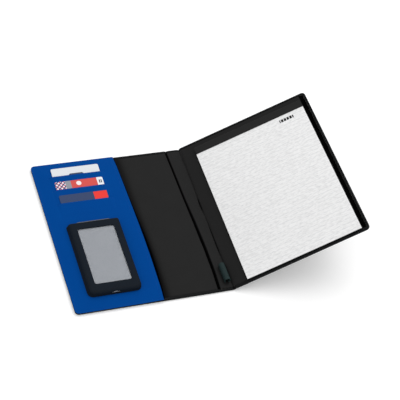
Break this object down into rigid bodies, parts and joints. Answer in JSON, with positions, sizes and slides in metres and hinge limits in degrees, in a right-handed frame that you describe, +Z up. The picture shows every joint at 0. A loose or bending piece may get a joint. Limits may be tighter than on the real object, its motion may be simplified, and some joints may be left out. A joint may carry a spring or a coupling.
{
  "type": "document folder",
  "caption": "A4 folder that opens like a book, with a document pocket, card slots, a phone pocket, a pen loop and a writing pad behind a lining slot.",
  "frame": {"origin": "middle of the spine's outer face, in the plane that the open folder lies on", "axes": "+X from the spine to the right cover, +Y to the head of the pages, +Z up from the plane it lies on"},
  "size_m": [0.4956, 0.317, 0.1224],
  "materials": {
    "skin": "fine-grained synthetic leather",
    "board": "grey board",
    "lining": "smooth matt synthetic lining",
    "blue_panel": "fine-grained synthetic leather",
    "card_white": "satin card",
    "card_coral": "satin card",
    "card_slate": "satin card",
    "phone_pocket": "smooth synthetic leather",
    "film": "clear soft film",
    "phone_body": "satin metallic",
    "display": "grey display glass",
    "paper": "white writing paper",
    "backing": "pad backing card",
    "tape": "black binding tape",
    "elastic": "woven elastic"
  },
  "bodies": {
    "left_cover": {"left_cover_skin": "skin", "left_board": "board", "left_lining": "lining", "document_pocket": "blue_panel", "card_backing": "lining", "card_1": "card_white", "card_2": "card_coral", "card_3": "card_slate", "phone_pocket": "phone_pocket", "phone_window_film": "film", "phone_body": "phone_body", "phone_display": "display"},
    "spine": {"spine_skin": "skin", "spine_board": "board", "spine_lining": "lining", "left_fold_skin": "skin", "left_fold_lining": "lining", "right_fold_skin": "skin", "right_fold_lining": "lining", "pen_loop": "elastic"},
    "right_cover": {"right_cover_skin": "skin", "right_board": "board", "right_lining": "lining", "pad_backing": "backing", "pad_sheets": "paper", "pad_tape": "tape"}
  },
  "joints": [
    {"name": "left_fold", "type": "hinge", "parent": "left_cover", "child": "spine", "pos_m": [-0.0113, 0, 0.0005], "axis": [0, -1, 0], "range_deg": [0, 90], "deforming": ["left_fold_skin", "left_fold_lining"]},
    {"name": "right_fold", "type": "hinge", "parent": "spine", "child": "right_cover", "pos_m": [0.0113, 0, 0.0005], "axis": [0, -1, 0], "range_deg": [-28, 59], "deforming": ["right_fold_skin", "right_fold_lining"]}
  ]
}
